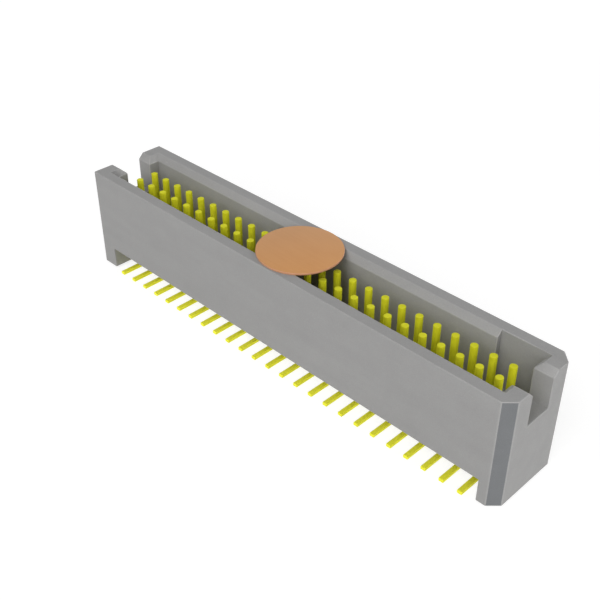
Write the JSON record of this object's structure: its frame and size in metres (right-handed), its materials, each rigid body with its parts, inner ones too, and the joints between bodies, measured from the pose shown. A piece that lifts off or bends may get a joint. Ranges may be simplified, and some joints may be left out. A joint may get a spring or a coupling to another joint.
{
  "type": "pin header",
  "caption": "Shrouded surface-mount pin header: a raised open moulding round rows of round pins, with flat solder tails along both sides and a film pick-up pad on the rim.",
  "frame": {"origin": "on the board plane, under the middle of the part", "axes": "+X along the rows towards the end with the cut corners, -Y the front, +Z away from the board"},
  "size_m": [0.035, 0.006, 0.0076],
  "materials": {
    "moulded_plastic": "satin moulded polymer",
    "gold_plated_wire": "bright plated",
    "amber_film": "smooth film"
  },
  "bodies": {
    "root": {"housing": "moulded_plastic", "contact_front_01": "gold_plated_wire", "contact_back_01": "gold_plated_wire", "contact_front_02": "gold_plated_wire", "contact_back_02": "gold_plated_wire", "contact_front_03": "gold_plated_wire", "contact_back_03": "gold_plated_wire", "contact_front_04": "gold_plated_wire", "contact_back_04": "gold_plated_wire", "contact_front_05": "gold_plated_wire", "contact_back_05": "gold_plated_wire", "contact_front_06": "gold_plated_wire", "contact_back_06": "gold_plated_wire", "contact_front_07": "gold_plated_wire", "contact_back_07": "gold_plated_wire", "contact_front_08": "gold_plated_wire", "contact_back_08": "gold_plated_wire", "contact_front_09": "gold_plated_wire", "contact_back_09": "gold_plated_wire", "contact_front_10": "gold_plated_wire", "contact_back_10": "gold_plated_wire", "contact_front_11": "gold_plated_wire", "contact_back_11": "gold_plated_wire", "contact_front_12": "gold_plated_wire", "contact_back_12": "gold_plated_wire", "contact_front_13": "gold_plated_wire", "contact_back_13": "gold_plated_wire", "contact_front_14": "gold_plated_wire", "contact_back_14": "gold_plated_wire", "contact_front_15": "gold_plated_wire", "contact_back_15": "gold_plated_wire", "contact_front_16": "gold_plated_wire", "contact_back_16": "gold_plated_wire", "contact_front_17": "gold_plated_wire", "contact_back_17": "gold_plated_wire", "contact_front_18": "gold_plated_wire", "contact_back_18": "gold_plated_wire", "contact_front_19": "gold_plated_wire", "contact_back_19": "gold_plated_wire", "contact_front_20": "gold_plated_wire", "contact_back_20": "gold_plated_wire", "contact_front_21": "gold_plated_wire", "contact_back_21": "gold_plated_wire", "contact_front_22": "gold_plated_wire", "contact_back_22": "gold_plated_wire", "contact_front_23": "gold_plated_wire", "contact_back_23": "gold_plated_wire", "contact_front_24": "gold_plated_wire", "contact_back_24": "gold_plated_wire", "contact_front_25": "gold_plated_wire", "contact_back_25": "gold_plated_wire", "pick_and_place_pad": "amber_film"}
  },
  "joints": []
}
